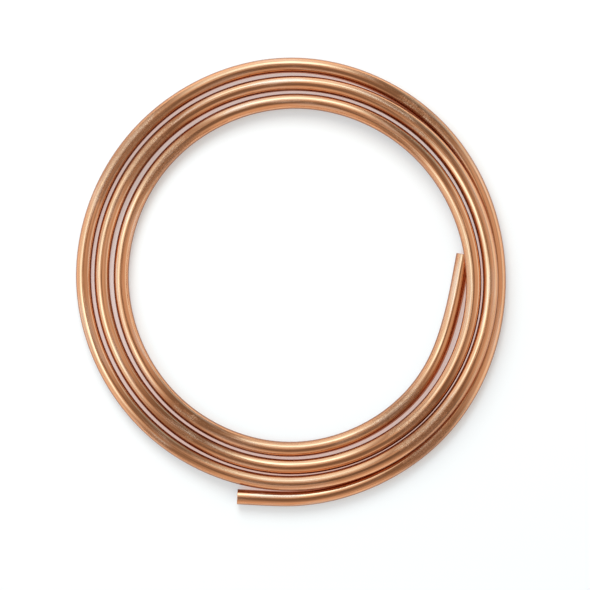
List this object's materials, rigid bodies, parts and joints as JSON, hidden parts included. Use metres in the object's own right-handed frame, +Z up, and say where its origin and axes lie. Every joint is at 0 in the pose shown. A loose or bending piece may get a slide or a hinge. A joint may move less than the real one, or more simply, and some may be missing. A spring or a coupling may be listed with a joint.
{
  "type": "copper tube coil",
  "caption": "Open round copper tube wound into a loose flat spiral coil lying on its side, with two cut free ends and a clear centre.",
  "frame": {"origin": "centre of the coil's bounding rectangle, on the level surface that the coil lies on", "axes": "+Z up, out of the coil's flat side; the tube winds outwards clockwise seen from +Z; the outer end points along -X on the -Y side, and the inner end lies on the +X side"},
  "size_m": [0.3592, 0.3748, 0.0248],
  "materials": {
    "copper": "bright drawn copper with faint lengthwise draw marks and dull handling patches"
  },
  "bodies": {
    "root": {"copper_tube": "copper"}
  },
  "joints": []
}
